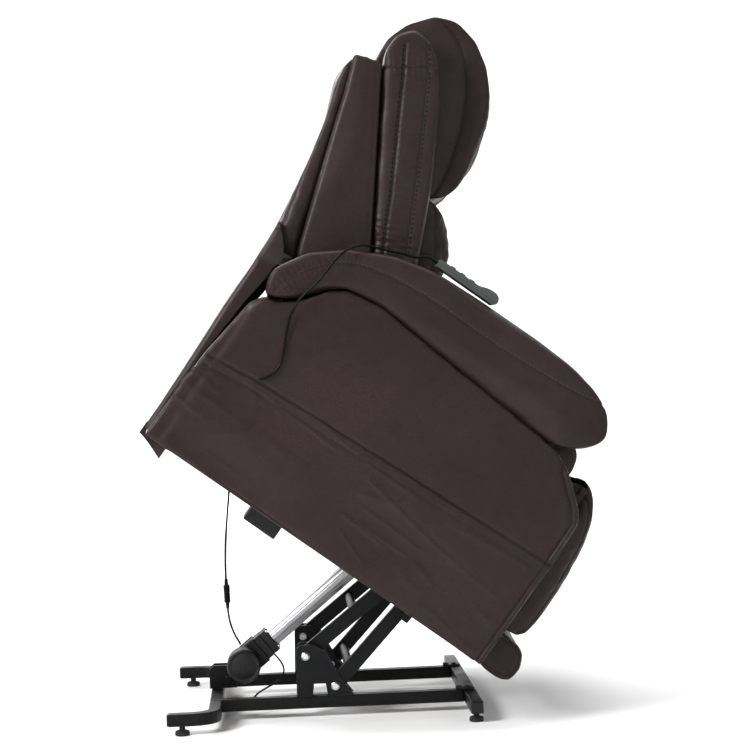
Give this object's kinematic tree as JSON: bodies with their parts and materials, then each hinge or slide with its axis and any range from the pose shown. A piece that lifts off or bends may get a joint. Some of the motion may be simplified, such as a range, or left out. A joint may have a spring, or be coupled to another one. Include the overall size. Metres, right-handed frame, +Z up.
{
  "type": "lift recliner chair",
  "caption": "Upholstered lift recliner armchair raised to its standing-assist pose on a motor-driven link base, with a corded handset resting on one arm.",
  "frame": {"origin": "on the floor, under the centre of the box around the raised chair", "axes": "+X the way the sitter faces, +Y towards the sitter's left, +Z up"},
  "size_m": [0.9154, 0.8186, 1.4334],
  "materials": {
    "powder_coat": "black powder coat, satin, slightly pebbled",
    "zinc": "bright zinc plate",
    "aluminium": "extruded and clear anodised, satin",
    "black_plastic": "black moulded plastic, fine texture",
    "handset_grey": "dark grey moulded plastic, satin",
    "button_rubber": "soft charcoal key rubber",
    "cord_rubber": "black cord jacket, satin",
    "foot_rubber": "black moulded rubber",
    "leather": "dark brown grained leather, semi-gloss",
    "plywood": "unfinished plywood"
  },
  "bodies": {
    "base": {"rail_left": "powder_coat", "rail_right": "powder_coat", "front_bar": "powder_coat", "rear_bar": "powder_coat", "rear_outrigger_left": "powder_coat", "rear_outrigger_right": "powder_coat", "foot_front_left": "foot_rubber", "foot_front_right": "foot_rubber", "foot_rear_left": "foot_rubber", "foot_rear_right": "foot_rubber", "pivot_bracket_left": "powder_coat", "pivot_bracket_right": "powder_coat", "upper_pivot_bolt_left": "zinc", "upper_pivot_bolt_right": "zinc", "lower_pivot_bolt_left": "zinc", "lower_pivot_bolt_right": "zinc", "motor_bracket": "powder_coat", "power_socket": "black_plastic", "motor_lead": "cord_rubber", "lead_connector": "cord_rubber", "gearbox_lead": "cord_rubber"},
    "lower_links": {"lower_link_left": "powder_coat", "lower_link_right": "powder_coat", "lower_link_tube": "powder_coat"},
    "upper_links": {"upper_link_left": "powder_coat", "upper_link_right": "powder_coat", "upper_link_tube": "powder_coat"},
    "actuator_body": {"motor": "black_plastic", "gearbox": "black_plastic", "actuator_tube": "aluminium"},
    "actuator_rod": {"actuator_rod": "zinc"},
    "chair": {"frame_rail_left": "powder_coat", "frame_rail_right": "powder_coat", "rear_cross_tube": "powder_coat", "front_cross_tube": "powder_coat", "rod_bracket": "powder_coat", "control_box": "black_plastic", "seat_deck": "plywood", "front_board": "plywood", "arm_body_left": "leather", "arm_body_right": "leather", "arm_pad_left": "leather", "arm_pad_right": "leather", "seat_cushion": "leather", "back_flap": "leather", "handset": "handset_grey", "handset_cord": "cord_rubber"},
    "backrest": {"back_shell": "leather", "outside_back": "leather", "head_pillow": "leather", "lumbar_cushion": "leather", "lower_back_cushion": "leather", "side_bolster_left": "leather", "side_bolster_right": "leather"},
    "footrest": {"footrest_board": "leather", "footrest_pad": "leather", "toe_pad": "leather"},
    "button_1": {"handset_button_1": "button_rubber"},
    "button_2": {"handset_button_2": "button_rubber"},
    "button_3": {"handset_button_3": "button_rubber"}
  },
  "joints": [
    {"name": "lift", "type": "hinge", "parent": "base", "child": "lower_links", "pos_m": [-0.0911, 0, 0.064], "axis": [0, 1, 0], "range_deg": [0, 27.88], "deforming": ["motor_lead", "lead_connector", "gearbox_lead"]},
    {"name": "chair_tilt", "type": "hinge", "parent": "lower_links", "child": "chair", "pos_m": [0.1491, 0, 0.32158], "axis": [0, 1, 0], "range_deg": [-64.6, 0]},
    {"name": "upper_link_swing", "type": "hinge", "parent": "base", "child": "upper_links", "pos_m": [-0.1511, 0, 0.128], "axis": [0, 1, 0], "range_deg": [0, 25.96]},
    {"name": "actuator_swing", "type": "hinge", "parent": "base", "child": "actuator_body", "pos_m": [-0.3161, 0, 0.066], "axis": [0, 1, 0], "range_deg": [0, 15.45]},
    {"name": "rod_slide", "type": "slide", "parent": "actuator_body", "child": "actuator_rod", "axis": [0.7771, 0, 0.6293], "range_m": [-0.0702, 0]},
    {"name": "recline", "type": "hinge", "parent": "chair", "child": "backrest", "pos_m": [-0.13415, 0, 0.7829], "axis": [0, -1, 0], "range_deg": [0, 35], "deforming": ["back_flap"]},
    {"name": "footrest_swing", "type": "hinge", "parent": "chair", "child": "footrest", "pos_m": [0.41843, 0, 0.45334], "axis": [0, -1, 0], "range_deg": [0, 80]},
    {"name": "button_1_press", "type": "slide", "parent": "chair", "child": "button_1", "axis": [-0.5976, 0, -0.8018], "range_m": [0, 0.0012], "stiffness_N_per_m": 400},
    {"name": "button_2_press", "type": "slide", "parent": "chair", "child": "button_2", "axis": [-0.5976, 0, -0.8018], "range_m": [0, 0.0012], "stiffness_N_per_m": 400},
    {"name": "button_3_press", "type": "slide", "parent": "chair", "child": "button_3", "axis": [-0.5976, 0, -0.8018], "range_m": [0, 0.0012], "stiffness_N_per_m": 400}
  ],
  "couplings": [
    {"joint": "chair_tilt", "follows": "lift", "ratio": -2.3164},
    {"joint": "upper_link_swing", "follows": "lift", "ratio": 0.9308},
    {"joint": "actuator_swing", "follows": "lift", "ratio": 0.5538},
    {"joint": "rod_slide", "follows": "lift", "m_per_rad": -0.14406}
  ]
}
